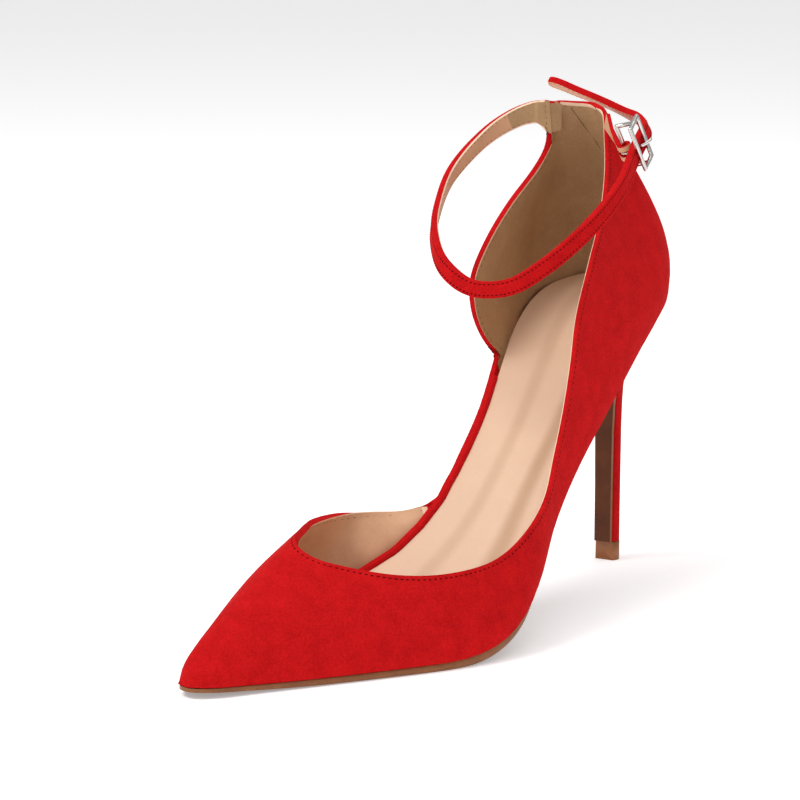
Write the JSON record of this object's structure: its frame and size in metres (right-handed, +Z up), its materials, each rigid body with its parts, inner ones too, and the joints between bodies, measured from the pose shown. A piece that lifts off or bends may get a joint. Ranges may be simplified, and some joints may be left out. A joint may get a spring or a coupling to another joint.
{
  "type": "stiletto pump",
  "caption": "Stiletto-heeled pump for the left foot with a cut-away inner side, a high heel neck and a slim buckled ankle strap.",
  "frame": {"origin": "centre of the heel tip's ground face", "axes": "-Y from the heel towards the toe, +X towards the outer side of the foot, +Z up"},
  "size_m": [0.0782, 0.2365, 0.1564],
  "materials": {
    "suede": "matte nap",
    "sock": "satin",
    "sole_leather": "polished",
    "tip": "satin",
    "plated_metal": "polished"
  },
  "bodies": {
    "root": {"upper": "suede", "insole": "sock", "outsole": "sole_leather", "heel": "suede", "top_lift": "tip", "ankle_strap": "suede", "buckle_tab": "suede", "buckle_frame": "plated_metal", "buckle_prong": "plated_metal"}
  },
  "joints": []
}
